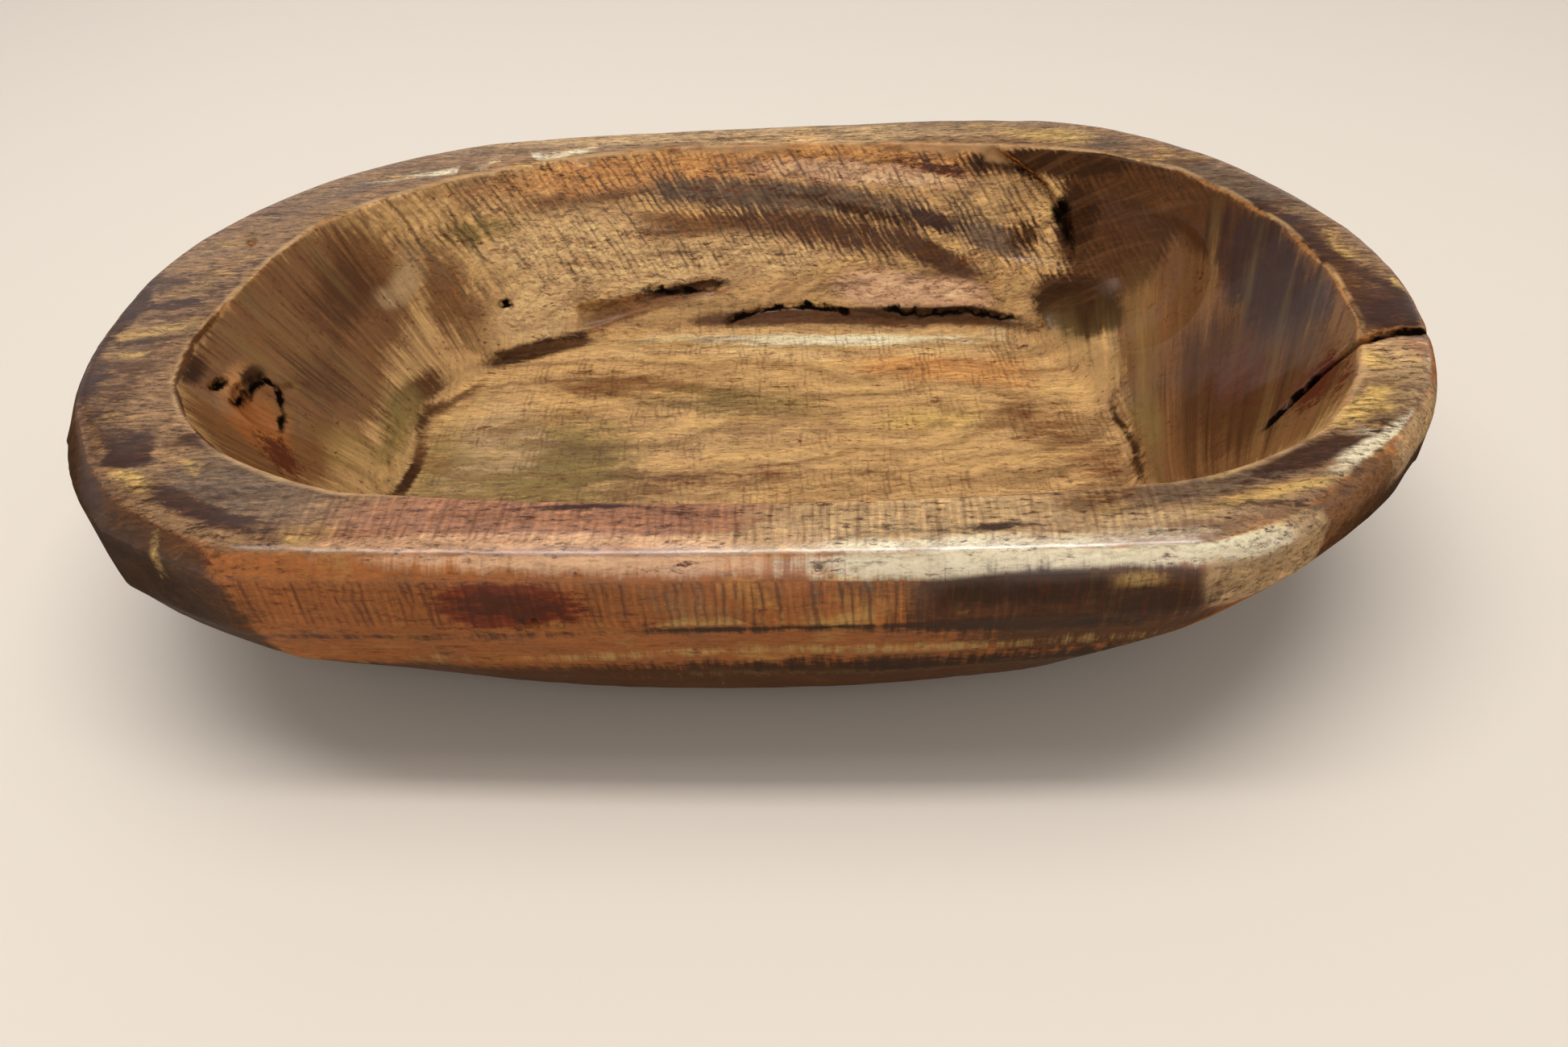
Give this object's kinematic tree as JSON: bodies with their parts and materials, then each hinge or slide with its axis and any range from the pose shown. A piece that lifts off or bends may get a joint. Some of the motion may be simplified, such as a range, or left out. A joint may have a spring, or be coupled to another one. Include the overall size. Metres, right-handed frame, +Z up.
{
  "type": "carved wooden bowl",
  "caption": "Long oval bowl hewn from one block of wood, with a thick flat rim, sloping walls, a flat floor and a flat foot to stand on.",
  "frame": {"origin": "on the surface the bowl stands on, under the middle of the bowl", "axes": "+X along the bowl's length towards the cracked end, +Y away from the front side, +Z up"},
  "size_m": [0.2525, 0.1654, 0.05],
  "materials": {
    "lacquered_wood": "spalted golden-brown wood with hand tool marks under clear gloss lacquer"
  },
  "bodies": {
    "root": {"carved_bowl": "lacquered_wood"}
  },
  "joints": []
}
